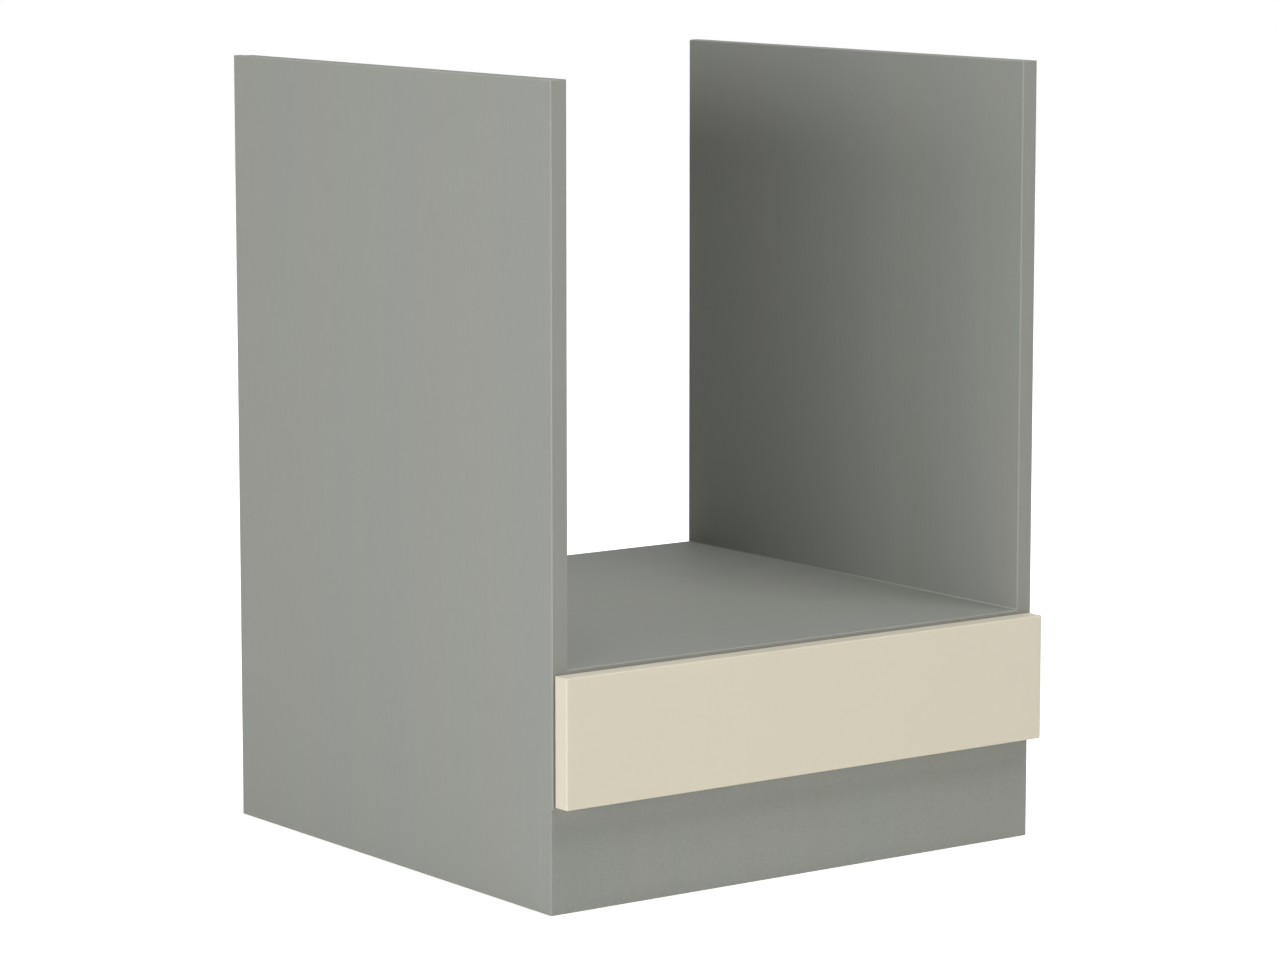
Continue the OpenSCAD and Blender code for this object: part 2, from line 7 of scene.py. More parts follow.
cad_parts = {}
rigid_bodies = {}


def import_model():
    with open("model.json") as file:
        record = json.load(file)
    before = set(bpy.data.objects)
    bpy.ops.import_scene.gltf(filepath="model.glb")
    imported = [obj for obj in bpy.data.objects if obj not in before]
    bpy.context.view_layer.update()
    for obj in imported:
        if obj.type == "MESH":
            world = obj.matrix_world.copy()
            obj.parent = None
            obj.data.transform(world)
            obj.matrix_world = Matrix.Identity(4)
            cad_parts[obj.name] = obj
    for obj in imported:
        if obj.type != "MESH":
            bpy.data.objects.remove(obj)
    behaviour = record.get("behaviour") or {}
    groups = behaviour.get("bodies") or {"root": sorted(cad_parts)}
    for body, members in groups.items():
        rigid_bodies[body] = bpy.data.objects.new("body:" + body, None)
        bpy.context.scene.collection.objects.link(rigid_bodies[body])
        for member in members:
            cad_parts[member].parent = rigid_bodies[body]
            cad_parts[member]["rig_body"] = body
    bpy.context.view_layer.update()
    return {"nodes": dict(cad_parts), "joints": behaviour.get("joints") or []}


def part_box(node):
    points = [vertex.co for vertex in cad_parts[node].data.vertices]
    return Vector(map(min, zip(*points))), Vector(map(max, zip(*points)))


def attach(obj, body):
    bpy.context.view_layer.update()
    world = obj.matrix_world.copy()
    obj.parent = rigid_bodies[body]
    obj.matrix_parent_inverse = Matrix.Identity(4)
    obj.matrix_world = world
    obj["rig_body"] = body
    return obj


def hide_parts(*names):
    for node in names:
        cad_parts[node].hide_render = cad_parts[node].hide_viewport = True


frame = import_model()
nodes = frame["nodes"]
scene = bpy.context.scene
mm = 0.001
acrossX, acrossY, acrossZ = 0, 1, 2
lowEnd, highEnd = 0, 1
print("frame loaded:", len(nodes), "nodes")


def middleOf(pair):
    return (pair[0] + pair[1]) / 2


# colours and shader nodes

noiseSpan = (0.3, 0.7)  # nearly all values of a noise lie in here
cloudSpan = (0.35, 0.65)  # a narrower span, for clearer clouds


def srgb(red, green, blue):
    def linear(value):
        share = value / 255
        return share / 12.92 if share <= 0.04045 else ((share + 0.055) / 1.055) ** 2.4
    return (linear(red), linear(green), linear(blue), 1)


def addNode(tree, kind, values=None, **settings):
    node = tree.nodes.new("ShaderNode" + kind)
    for key, value in settings.items():
        setattr(node, key, value)
    for key, value in (values or {}).items():
        if isinstance(value, bpy.types.NodeSocket):
            tree.links.new(value, node.inputs[key])
        else:
            node.inputs[key].default_value = value
    return node


def startMaterial(name, **shaderValues):
    material = bpy.data.materials.new(name)
    material.use_nodes = True
    tree = material.node_tree
    shader = tree.nodes["Principled BSDF"]
    for key, value in shaderValues.items():
        shader.inputs[key.replace("_", " ")].default_value = value
    coords = addNode(tree, "TexCoord").outputs["Object"]
    return material, tree, shader, coords


def stretched(tree, coords, cells):
    # cells a metre, as one number or along x, y and z
    scale = cells if isinstance(cells, (list, tuple)) else [cells] * 3
    return addNode(tree, "Mapping", {"Vector": coords, "Scale": scale}).outputs["Vector"]


def cellsAlong(axis, along, across):
    return [along if k == axis else across for k in range(3)]


def noise(tree, coords, cells, detail=2, roughness=0.5, distortion=0):
    return addNode(tree, "TexNoise", {
        "Vector": stretched(tree, coords, cells), "Scale": 1, "Detail": detail,
        "Roughness": roughness, "Distortion": distortion}).outputs["Fac"]


def chips(tree, coords, cells):
    return addNode(tree, "TexVoronoi", {"Vector": stretched(tree, coords, cells), "Scale": 1})


def remap(tree, value, low, high, newLow=0, newHigh=1, smooth=False):
    return addNode(tree, "MapRange", {
        "Value": value, "From Min": low, "From Max": high, "To Min": newLow, "To Max": newHigh},
        interpolation_type="SMOOTHSTEP" if smooth else "LINEAR").outputs["Result"]


def calculate(tree, operation, *values):
    return addNode(tree, "Math", dict(enumerate(values)), operation=operation).outputs[0]


def calculateVector(tree, operation, *values):
    return addNode(tree, "VectorMath", dict(enumerate(values)), operation=operation).outputs[0]


def separated(tree, vector):
    return addNode(tree, "SeparateXYZ", {0: vector}).outputs


def mixColours(tree, share, first, second):
    return addNode(tree, "Mix", {0: share, 6: first, 7: second}, data_type="RGBA").outputs[2]


def cloudColours(tree, clouds, first, second):
    return mixColours(tree, remap(tree, clouds, *cloudSpan), first, second)


def patterned(tree, colour, pattern, span, depth):
    # darker and lighter by the depth, as the pattern goes through its span
    factor = remap(tree, pattern, *span, 1 - depth, 1 + depth)
    return addNode(tree, "VectorMath", {0: colour, "Scale": factor}, operation="SCALE").outputs[0]


def threeTones(tree, value, tones):
    ramp = addNode(tree, "ValToRGB", {"Fac": value})
    dark, light = ramp.color_ramp.elements
    dark.color, light.color = tones["dark"], tones["light"]
    dark.position, middlePlace, light.position = tones["places"]
    ramp.color_ramp.elements.new(middlePlace).color = tones["middle"]
    return ramp.outputs["Color"]


def addBump(tree, shader, height, finish):
    bump = addNode(tree, "Bump", {
        "Height": height, "Strength": finish["bumpStrength"], "Distance": finish["bumpDepth"]})
    tree.links.new(bump.outputs["Normal"], shader.inputs["Normal"])


def finishSurface(tree, shader, colour, pattern, finish):
    # the colour, and one pattern for both roughness and bump
    tree.links.new(colour, shader.inputs["Base Color"])
    roughness = remap(tree, pattern, *noiseSpan, *finish["roughness"])
    tree.links.new(roughness, shader.inputs["Roughness"])
    addBump(tree, shader, pattern, finish)


def depthInside(tree, coords, node):
    # how far a point lies inside each pair of faces of the node's box, as x, y and z
    low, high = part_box(node)
    away = calculateVector(tree, "SUBTRACT", coords, middleOf((low, high)))
    away = calculateVector(tree, "ABSOLUTE", away)
    return separated(tree, calculateVector(tree, "SUBTRACT", (high - low) / 2, away))


def awayFrom(tree, coords, axis, place):
    # distance from a plane across one axis
    return calculate(tree, "ABSOLUTE", calculate(tree, "SUBTRACT", separated(tree, coords)[axis], place))


# a mask near the edges of the node's box, where a highlight is painted along the arrises
def arrisHighlightMask(tree, depths, width):
    near = [remap(tree, depth, 0, width, 1, 0, smooth=True) for depth in depths]
    pairs = [calculate(tree, "MULTIPLY", near[k], near[(k + 1) % 3]) for k in range(3)]
    return calculate(tree, "MAXIMUM", calculate(tree, "MAXIMUM", pairs[0], pairs[1]), pairs[2])


# mesh helpers

meshing = {
    "touching": 0.001 * mm,  # points nearer than this are one
    "flatAngle": math.radians(0.5),
    "arrisAngle": 1,  # in radians; blunter edges aren't rounded
    "shortestArris": 4 * mm,
    "arrisSegments": 2,
    "bendSegments": 5,
    "cornerSegments": 5,
    "slotRound": 0.499,  # of a slot's width, just under a half
    "slotSegments": 8,
    "sharpAngle": math.radians(40),
    "softAngle": math.radians(50),
    "softSegments": 2,
}


def copyOfNode(node):
    bm = bmesh.new()
    bm.from_mesh(nodes[node].data)
    bmesh.ops.remove_doubles(bm, verts=bm.verts, dist=meshing["touching"])
    bmesh.ops.dissolve_limit(bm, angle_limit=meshing["flatAngle"], verts=bm.verts, edges=bm.edges)
    return bm


def roundEdges(bm, edges, radius, segments):
    bmesh.ops.bevel(bm, geom=edges, offset=radius, offset_type="OFFSET", segments=segments,
                    profile=0.5, affect="EDGES", material=-1, clamp_overlap=False)


def longArrises(bm, shortest=meshing["shortestArris"]):
    return [edge for edge in bm.edges if edge.calc_length() > shortest
            and edge.calc_face_angle_signed(0) > meshing["arrisAngle"]]


def liesAt(edge, axis, value):
    return all(abs(vert.co[axis] - value) < meshing["touching"] for vert in edge.verts)


def joinInto(bm, part, place=Matrix()):
    known = len(bm.verts)
    mesh = bpy.data.meshes.new("part")
    part.to_mesh(mesh)
    bm.from_mesh(mesh)
    bpy.data.meshes.remove(mesh)
    bm.verts.ensure_lookup_table()
    bmesh.ops.transform(bm, matrix=place, verts=bm.verts[known:])


def mirrorAcross(bm):
    bmesh.ops.scale(bm, vec=(-1, 1, 1), verts=bm.verts)
    bmesh.ops.reverse_faces(bm, faces=bm.faces)


def axes(xAxis, yAxis, zAxis, origin):
    matrix = Matrix((xAxis, yAxis, zAxis)).transposed().to_4x4()
    matrix.translation = origin
    return matrix


def cutAway(bm, cutters=None, thickness=0):
    # the bmesh, thickened where it is a sheet, less the cutters
    blank, tool = [bpy.data.objects.new(name, bpy.data.meshes.new(name)) for name in ("blank", "cutter")]
    bm.to_mesh(blank.data)
    scene.collection.objects.link(blank)
    scene.collection.objects.link(tool)
    if thickness:
        thickened = blank.modifiers.new("thickness", "SOLIDIFY")
        thickened.thickness = thickness
        thickened.offset = -1
        thickened.use_even_offset = True
    if cutters:
        cutters.to_mesh(tool.data)
        holes = blank.modifiers.new("holes", "BOOLEAN")
        holes.object = tool
        holes.solver = "EXACT"
    bpy.context.view_layer.update()
    cut = bpy.data.meshes.new_from_object(blank.evaluated_get(bpy.context.evaluated_depsgraph_get()))
    bm.clear()
    bm.from_mesh(cut)
    bpy.data.meshes.remove(cut)
    bpy.data.objects.remove(blank)
    bpy.data.objects.remove(tool)


def foldStrip(bm, corners, bendRadius, place, length, cornerRadius=0):
    # corners follow the sheet's skin with its thickness on their left; length runs along place's z
    strip = bmesh.new()
    verts = [strip.verts.new((x, y, 0)) for x, y in corners]
    edges = [strip.edges.new(pair) for pair in zip(verts, verts[1:])]
    made = bmesh.ops.extrude_edge_only(strip, edges=edges)["geom"]
    bmesh.ops.translate(strip, verts=[item for item in made if isinstance(item, bmesh.types.BMVert)],
                        vec=(0, 0, length))
    bmesh.ops.recalc_face_normals(strip, faces=strip.faces)
    along = Vector(corners[1]) - Vector(corners[0])
    middle = Vector(corners[0]) + along / 2
    first = min(strip.faces, key=lambda face: (face.calc_center_median().xy - middle).length)
    if first.normal.xy.dot((along.y, -along.x)) < 0:
        bmesh.ops.reverse_faces(strip, faces=strip.faces)
    bends = [edge for edge in strip.edges if len(edge.link_faces) == 2]
    roundEdges(strip, bends, bendRadius, meshing["bendSegments"])
    if cornerRadius:
        ends = [vert for vert in strip.verts if len(vert.link_edges) == 2]
        bmesh.ops.bevel(strip, geom=ends, offset=cornerRadius, offset_type="OFFSET",
                        segments=meshing["cornerSegments"], profile=0.5, affect="VERTICES",
                        material=-1, clamp_overlap=False)
    joinInto(bm, strip, place)
    strip.free()


def slotCutter(bm, centre, size, axis):
    # an oblong through a sheet, along one axis
    part = bmesh.new()
    bmesh.ops.create_cube(part, size=1)
    bmesh.ops.scale(part, vec=size, verts=part.verts)
    ends = [edge for edge in part.edges
            if abs((edge.verts[0].co - edge.verts[1].co)[axis]) > meshing["touching"]]
    width = min(size[k] for k in range(3) if k != axis)
    roundEdges(part, ends, meshing["slotRound"] * width, meshing["slotSegments"])
    joinInto(bm, part, Matrix.Translation(centre))
    part.free()


def spun(profile, steps, closed=False):
    # points of radius and height, turned about z
    bm = bmesh.new()
    verts = [bm.verts.new((radius, 0, height)) for radius, height in profile]
    edges = [bm.edges.new(pair) for pair in zip(verts, verts[1:])]
    if closed:
        edges.append(bm.edges.new((verts[-1], verts[0])))
    bmesh.ops.spin(bm, geom=verts + edges, cent=(0, 0, 0), axis=(0, 0, 1), dvec=(0, 0, 0),
                   angle=math.tau, steps=steps, use_merge=True, use_duplicate=False)
    bmesh.ops.remove_doubles(bm, verts=bm.verts, dist=meshing["touching"])
    bmesh.ops.recalc_face_normals(bm, faces=bm.faces)
    return bm


def solidBoxes(node):
    # the lowest and highest corner of each separate solid in a node
    bm = copyOfNode(node)
    left = set(bm.verts)
    boxes = []
    while left:
        waiting = [left.pop()]
        group = []
        while waiting:
            vert = waiting.pop()
            group.append(vert.co.copy())
            for edge in vert.link_edges:
                other = edge.other_vert(vert)
                if other in left:
                    left.remove(other)
                    waiting.append(other)
        boxes.append([Vector([pick(co[k] for co in group) for k in range(3)]) for pick in (min, max)])
    bm.free()
    return sorted(boxes, key=lambda pair: [round(value, 4) for value in pair[0]])


def newPiece(name, bm, node, material, softEdges=0):
    mesh = bpy.data.meshes.new(name)
    bm.to_mesh(mesh)
    bm.free()
    piece = bpy.data.objects.new(name, mesh)
    scene.collection.objects.link(piece)
    mesh.materials.append(material)
    mesh.shade_smooth()
    mesh.set_sharp_from_angle(angle=meshing["sharpAngle"])
    if softEdges:
        rounded = piece.modifiers.new("softEdges", "BEVEL")
        rounded.width = softEdges
        rounded.segments = meshing["softSegments"]
        rounded.limit_method = "ANGLE"
        rounded.angle_limit = meshing["softAngle"]
    weighted = piece.modifiers.new("flatFaces", "WEIGHTED_NORMAL")
    weighted.keep_sharp = True
    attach(piece, nodes[node]["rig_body"])
    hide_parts(node)
    return piece


# laminated boards

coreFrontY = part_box("shelf_edging")[1].y
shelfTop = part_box("oven_shelf")[1].z

board = {
    "face": srgb(150, 152, 147),
    "cool": srgb(149.3, 152.2, 148),
    "warm": srgb(150.7, 152, 146),
    # painted highlight colour along the arrises, and how far in it reaches
    "arrisHighlight": srgb(163, 165, 159),
    "arrisHighlightWidth": 1.6 * mm,
    "arrisRadius": 0.3 * mm,
    "skin": 0.35 * mm,
    "skinBlend": 0.15 * mm,
    "bandBlend": 0.1 * mm,
    "streakAcross": 70,
    "streakAlong": 5,
    "streakShare": 0.5,
    "cloudTimes": 5,  # how much larger than the streaks
    "grainAcross": 330,
    "grainAlong": 45,
    "speckleCells": 900,
    "streakWeight": 0.4,
    "speckleWeight": 0.6,
    "patternSpan": (0.6, 1.4),
    "patternDepth": 0.03,
    # painted highlight line along the shelf joint: its colour, how far above the shelf it lies, and its fade
    "joint": srgb(178, 180, 174),
    "jointRise": 0.64 * mm,
    "jointFade": (0.48 * mm, 0.96 * mm),
    "gloss": 0.08,
    "roughnessSpan": (0.3, 1.6),
    "roughness": (0.58, 0.85),  # from the faces to the core
    "chipHeight": 1.5,
    "bumpStrength": 0.25,
    "bumpDepth": 0.12 * mm,
}
plinth = {
    **board,
    "grainAlong": 330,
    "patternDepth": 0.07,
}
white = {
    **board,
    "face": srgb(228, 229, 225),
    "cool": srgb(227, 229, 226),
    "warm": srgb(229, 229, 223),
    # painted highlight colour along the arrises
    "arrisHighlight": srgb(240, 240, 236),
}
chipboard = {
    "dark": srgb(158, 132, 100),
    "middle": srgb(196, 172, 136),
    "light": srgb(220, 200, 166),
    "places": (0, 0.45, 1),
    "flatCells": 420,
    "deepCells": 900,  # through the board's thickness
    "fineTimes": 3,  # how much finer than the chips
    "chipWeight": 0.7,
    "fineWeight": 0.35,
}


def chipCore(tree, coords, across):
    # pressed wood chips, lying flat in the board
    cells = cellsAlong(across, chipboard["deepCells"], chipboard["flatCells"])
    coarse = chips(tree, coords, cells)
    fine = noise(tree, coords, [value * chipboard["fineTimes"] for value in cells], detail=3)
    shade = addNode(tree, "SeparateColor", {0: coarse.outputs["Color"]}).outputs[0]
    shade = calculate(tree, "MULTIPLY", shade, chipboard["chipWeight"])
    shade = calculate(tree, "MULTIPLY_ADD", fine, chipboard["fineWeight"], shade)
    return threeTones(tree, shade, chipboard), coarse.outputs["Distance"]


def jointHighlightLine(tree, coords, jointZ, tone):
    # a painted highlight: a fine light line where the shelf meets the inner face of a side
    line = remap(tree, awayFrom(tree, coords, acrossZ, jointZ + tone["jointRise"]),
                 *tone["jointFade"], 1, 0, smooth=True)
    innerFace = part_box("oven_shelf")[1].x + tone["skin"]
    inside = calculate(tree, "LESS_THAN", awayFrom(tree, coords, acrossX, 0), innerFace)
    return calculate(tree, "MULTIPLY", line, inside)


def coreMask(tree, coords, node, depth, edged, tone):
    # nought in the faces and in the banded ends, one in the chips between them
    mask = remap(tree, depth, tone["skin"], tone["skin"] + tone["skinBlend"])
    for axis, side in edged:
        away = awayFrom(tree, coords, axis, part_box(node)[side][axis])
        banded = remap(tree, away, tone["skin"], tone["skin"] + tone["bandBlend"])
        mask = calculate(tree, "MULTIPLY", mask, banded)
    return mask


def boardMaterial(name, node, across, grain, tone, edged=(), jointZ=None):
    # melamine over chips, with a painted highlight along the arrises and along the shelf joint; edged lists
    # the banded ends as axis and side, and jointZ is a shelf's top
    material, tree, shader, coords = startMaterial(name, Specular_IOR_Level=tone["gloss"])
    cells = cellsAlong(grain, tone["streakAlong"], tone["streakAcross"])
    streaks = noise(tree, coords, cells, detail=3, roughness=0.6)
    clouds = noise(tree, coords, [value / tone["cloudTimes"] for value in cells], detail=1)
    fine = noise(tree, coords, cellsAlong(grain, tone["grainAlong"], tone["grainAcross"]), roughness=0.6)
    speckle = noise(tree, coords, tone["speckleCells"], roughness=0.7)
    face = cloudColours(tree, clouds, tone["cool"], tone["warm"])
    face = mixColours(tree, remap(tree, streaks, *noiseSpan, 0, tone["streakShare"]), face, tone["face"])
    depths = depthInside(tree, coords, node)
    # painted highlight along the arrises
    face = mixColours(tree, arrisHighlightMask(tree, depths, tone["arrisHighlightWidth"]), face, tone["arrisHighlight"])
    # painted highlight along the shelf joint
    if jointZ is not None:
        face = mixColours(tree, jointHighlightLine(tree, coords, jointZ, tone), face, tone["joint"])
    pattern = calculate(tree, "MULTIPLY_ADD", streaks, tone["streakWeight"], fine)
    pattern = calculate(tree, "MULTIPLY_ADD", speckle, tone["speckleWeight"], pattern)
    face = patterned(tree, face, pattern, tone["patternSpan"], tone["patternDepth"])
    inCore = coreMask(tree, coords, node, depths[across], edged, tone)
    core, chipHeight = chipCore(tree, coords, across)
    tree.links.new(mixColours(tree, inCore, face, core), shader.inputs["Base Color"])
    roughness = remap(tree, calculate(tree, "ADD", speckle, inCore), *tone["roughnessSpan"],
                      *tone["roughness"])
    tree.links.new(roughness, shader.inputs["Roughness"])
    height = calculate(tree, "MULTIPLY", chipHeight, calculate(tree, "MULTIPLY", inCore, tone["chipHeight"]))
    addBump(tree, shader, calculate(tree, "MULTIPLY_ADD", speckle, tone["speckleWeight"], height), tone)
    return material


def boardPiece(name, node, material, radius=board["arrisRadius"], keepY=None):
    bm = copyOfNode(node)
    edges = longArrises(bm)
    if keepY is not None:  # edges flush with their edging stay sharp
        edges = [edge for edge in edges if not liesAt(edge, acrossY, keepY)]
    roundEdges(bm, edges, radius, meshing["arrisSegments"])
    return newPiece(name, bm, node, material)


print("building the boards")
for name, node in (("leftSidePanel", "left_side"), ("rightSidePanel", "right_side")):
    finish = boardMaterial(name + "Melamine", node, acrossX, acrossZ, board, [(acrossZ, highEnd)], shelfTop)
    boardPiece(name, node, finish, keepY=coreFrontY)
for name, node in (("ovenShelfBoard", "oven_shelf"), ("bottomBoard", "bottom_panel")):
    finish = boardMaterial(name + "Melamine", node, acrossZ, acrossX, board)
    boardPiece(name, node, finish, keepY=coreFrontY)
finish = boardMaterial("plinthMelamine", "plinth", acrossY, acrossZ, plinth,
                       [(acrossX, lowEnd), (acrossX, highEnd), (acrossZ, highEnd)])
boardPiece("plinthBoard", "plinth", finish)
finish = boardMaterial("drawerBottomMelamine", "drawer_bottom", acrossZ, acrossX, white)
boardPiece("drawerBottomBoard", "drawer_bottom", finish)
finish = boardMaterial("drawerBackMelamine", "drawer_back", acrossY, acrossX, white, [(acrossZ, highEnd)])
boardPiece("drawerBackBoard", "drawer_back", finish)

# edging, drawer front and back panel

edging = {
    "face": srgb(146, 147.5, 141.5),
    "deep": srgb(144.5, 146, 140.5),
    # painted highlight colour along the arrises
    "light": srgb(159, 160, 154),
    "arrisRadius": 0.7 * mm,
    "arrisSegments": 4,
    # how far in the painted highlight reaches
    "arrisHighlightWidth": 1.4 * mm,
    "cloudCells": 9,
    "pearlCells": 1400,
    "pearlDepth": 0.015,
    "gloss": 0.14,
    "roughness": (0.46, 0.55),
    "bumpStrength": 0.2,
    "bumpDepth": 0.05 * mm,
}
front = {
    "face": srgb(217.5, 210.5, 192.5),
    "deep": srgb(216.5, 209.5, 191.5),
    # painted highlight colour along the arrises
    "light": srgb(219, 212, 195),
    "backRadius": 0.5 * mm,
    "backSegments": 2,
    "frontRadius": 1.5 * mm,
    "frontSegments": 4,
    "shortestSide": 10 * mm,  # shorter edges belong to the rounded back
    # how far in the painted highlight reaches
    "arrisHighlightWidth": 2.2 * mm,
    "cloudCells": 9,
    "pearlCells": 1100,
    "pearlDepth": 0.004,
    "gloss": 0.26,
    "roughness": (0.38, 0.47),
    "bumpStrength": 0.2,
    "bumpDepth": 0.04 * mm,
}
hardboard = {
    "dark": srgb(134, 106, 78),
    "middle": srgb(162, 132, 100),
    "light": srgb(184, 154, 120),
    "places": (0.28, 0.5, 0.74),
    "fibreCells": (260, 900, 700),
    "fibreWeight": 0.75,
    "cloudCells": 14,
    "cloudWeight": 0.25,
    "coat": srgb(176, 178, 172),
    "coatDepth": 0.25 * mm,
    "coatBlend": 0.1 * mm,
    "arrisRadius": 0.25 * mm,
    "roughness": (0.78, 0.5),  # of the raw back and of the coat
    "bumpStrength": 0.3,
    "bumpDepth": 0.15 * mm,
}


def coatMaterial(name, node, tone):
    # an even coat with a fine pearl, and a painted highlight along its arrises
    material, tree, shader, coords = startMaterial(name, Specular_IOR_Level=tone["gloss"])
    clouds = noise(tree, coords, tone["cloudCells"])
    pearl = noise(tree, coords, tone["pearlCells"], roughness=0.6)
    face = cloudColours(tree, clouds, tone["deep"], tone["face"])
    arrisHighlight = arrisHighlightMask(tree, depthInside(tree, coords, node), tone["arrisHighlightWidth"])
    # painted highlight along the arrises
    face = mixColours(tree, arrisHighlight, face, tone["light"])
    face = patterned(tree, face, pearl, noiseSpan, tone["pearlDepth"])
    finishSurface(tree, shader, face, pearl, tone)
    return material


def edgingPiece(name, node):
    bm = copyOfNode(node)
    edges = [edge for edge in longArrises(bm) if liesAt(edge, acrossY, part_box(node)[0].y)]
    roundEdges(bm, edges, edging["arrisRadius"], edging["arrisSegments"])
    return newPiece(name, bm, node, coatMaterial(name + "Finish", node, edging))


def drawerFrontPiece():
    low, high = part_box("drawer_front")
    bm = copyOfNode("drawer_front")
    edges = [edge for edge in longArrises(bm) if liesAt(edge, acrossY, high.y)]
    roundEdges(bm, edges, front["backRadius"], front["backSegments"])
    edges = [edge for edge in longArrises(bm, front["shortestSide"])
             if min(vert.co.y for vert in edge.verts) < low.y + meshing["touching"]]
    roundEdges(bm, edges, front["frontRadius"], front["frontSegments"])
    finish = coatMaterial("creamFoil", "drawer_front", front)
    return newPiece("drawerFrontPanel", bm, "drawer_front", finish)


def hardboardMaterial():
    # brown fibres with a pale coat on the side that faces the drawer
    material, tree, shader, coords = startMaterial("pressedHardboard")
    fibres = noise(tree, coords, hardboard["fibreCells"], detail=5, roughness=0.7, distortion=0.6)
    clouds = noise(tree, coords, hardboard["cloudCells"], detail=3)
    shade = calculate(tree, "MULTIPLY", clouds, hardboard["cloudWeight"])
    shade = calculate(tree, "MULTIPLY_ADD", fibres, hardboard["fibreWeight"], shade)
    raw = threeTones(tree, shade, hardboard)
    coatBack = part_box("back_panel")[0].y + hardboard["coatDepth"]
    coated = remap(tree, separated(tree, coords)[acrossY], coatBack, coatBack + hardboard["coatBlend"], 1, 0)
    tree.links.new(mixColours(tree, coated, raw, hardboard["coat"]), shader.inputs["Base Color"])
    tree.links.new(remap(tree, coated, 0, 1, *hardboard["roughness"]), shader.inputs["Roughness"])
    addBump(tree, shader, fibres, hardboard)
    return material


print("building the edging, the drawer front and the back panel")
for name, node in (("leftSideEdging", "left_side_edging"), ("rightSideEdging", "right_side_edging"),
                   ("shelfEdging", "shelf_edging"), ("bottomEdging", "bottom_edging")):
    edgingPiece(name, node)
drawerFrontPiece()
boardPiece("hardboardBack", "back_panel", hardboardMaterial(), hardboard["arrisRadius"])

# metal, plastic and beech

steel = {
    "coat": srgb(224, 226, 225),
    "coatDeep": srgb(217, 220, 219),
    "cloudCells": 18,
    "peelCells": 650,
    "edgeRadius": 0.2 * mm,
    "roughness": (0.34, 0.43),
    "bumpStrength": 0.25,
    "bumpDepth": 0.06 * mm,
}
plate = {
    "face": srgb(196, 199, 201),
    "cool": srgb(178, 186, 194),
    "warm": srgb(205, 200, 186),
    "cloudCells": 120,
    "spangleCells": 260,
    "spangleShare": (0.3, 0.9),
    "roughness": (0.26, 0.44),
    "bumpStrength": 0.12,
    "bumpDepth": 0.05 * mm,
}
castMetal = {
    "light": srgb(168, 170, 172),
    "deep": srgb(140, 143, 146),
    "cells": 1500,
    "detail": 3,
    "roughness": (0.45, 0.62),
    "bumpStrength": 0.3,
    "bumpDepth": 0.08 * mm,
}
nylon = {
    "light": srgb(238, 238, 232),
    "deep": srgb(226, 226, 218),
    "cells": 300,
    "detail": 3,
    "milkiness": 0.15,
    "milkDepth": 1 * mm,
    "roughness": (0.3, 0.42),
    "bumpStrength": 0.1,
    "bumpDepth": 0.05 * mm,
}
rubber = {
    "light": srgb(218, 223, 222),
    "deep": srgb(206, 213, 214),
    "cells": 700,
    "detail": 2,
    "clearness": 0.7,
    "refraction": 1.45,
    "roughness": (0.25, 0.4),
    "bumpStrength": 0.1,
    "bumpDepth": 0.04 * mm,
}
beech = {
    "light": srgb(224, 198, 158),
    "dark": srgb(202, 170, 126),
    "fibreAlong": 40,
    "fibreAcross": 700,
    "roughness": 0.65,
    "bumpStrength": 0.3,
    "bumpDepth": 0.1 * mm,
}


def coatedSteelMaterial():
    material, tree, shader, coords = startMaterial("whiteCoatedSteel")
    orangePeel = noise(tree, coords, steel["peelCells"], detail=1)
    clouds = noise(tree, coords, steel["cloudCells"])
    finishSurface(tree, shader, cloudColours(tree, clouds, steel["coatDeep"], steel["coat"]),
                  orangePeel, steel)
    return material


def zincMaterial():
    material, tree, shader, coords = startMaterial("zincPlating", Metallic=1)
    spangles = chips(tree, coords, plate["spangleCells"])
    shade = addNode(tree, "SeparateColor", {0: spangles.outputs["Color"]}).outputs
    clouds = noise(tree, coords, plate["cloudCells"], detail=3)
    face = cloudColours(tree, clouds, plate["cool"], plate["warm"])
    face = mixColours(tree, remap(tree, shade[0], 0, 1, *plate["spangleShare"]), face, plate["face"])
    tree.links.new(face, shader.inputs["Base Color"])
    tree.links.new(remap(tree, shade[1], 0, 1, *plate["roughness"]), shader.inputs["Roughness"])
    addBump(tree, shader, clouds, plate)
    return material


def grainyMaterial(name, finish, **shaderValues):
    # one fine grain for colour, roughness and bump
    material, tree, shader, coords = startMaterial(name, **shaderValues)
    grain = noise(tree, coords, finish["cells"], detail=finish["detail"])
    finishSurface(tree, shader, mixColours(tree, grain, finish["deep"], finish["light"]), grain, finish)
    return material


def beechMaterial():
    material, tree, shader, coords = startMaterial("beechWood", Roughness=beech["roughness"])
    cells = cellsAlong(acrossX, beech["fibreAlong"], beech["fibreAcross"])
    fibres = noise(tree, coords, cells, detail=4, roughness=0.6)
    face = mixColours(tree, remap(tree, fibres, *noiseSpan), beech["dark"], beech["light"])
    tree.links.new(face, shader.inputs["Base Color"])
    addBump(tree, shader, fibres, beech)
    return material


coatedSteel = coatedSteelMaterial()
zincPlating = zincMaterial()
castZinc = grainyMaterial("castZinc", castMetal, Metallic=1)
whiteNylon = grainyMaterial("whiteNylon", nylon, Subsurface_Weight=nylon["milkiness"],
                            Subsurface_Scale=nylon["milkDepth"])
clearRubber = grainyMaterial("clearRubber", rubber, Transmission_Weight=rubber["clearness"],
                             IOR=rubber["refraction"])

# runners and drawer sides

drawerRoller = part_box("left_drawer_roller")
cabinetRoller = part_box("left_cabinet_roller")
slideTravel = next(joint for joint in frame["joints"] if joint["name"] == "drawer_slide")["range_m"][1]

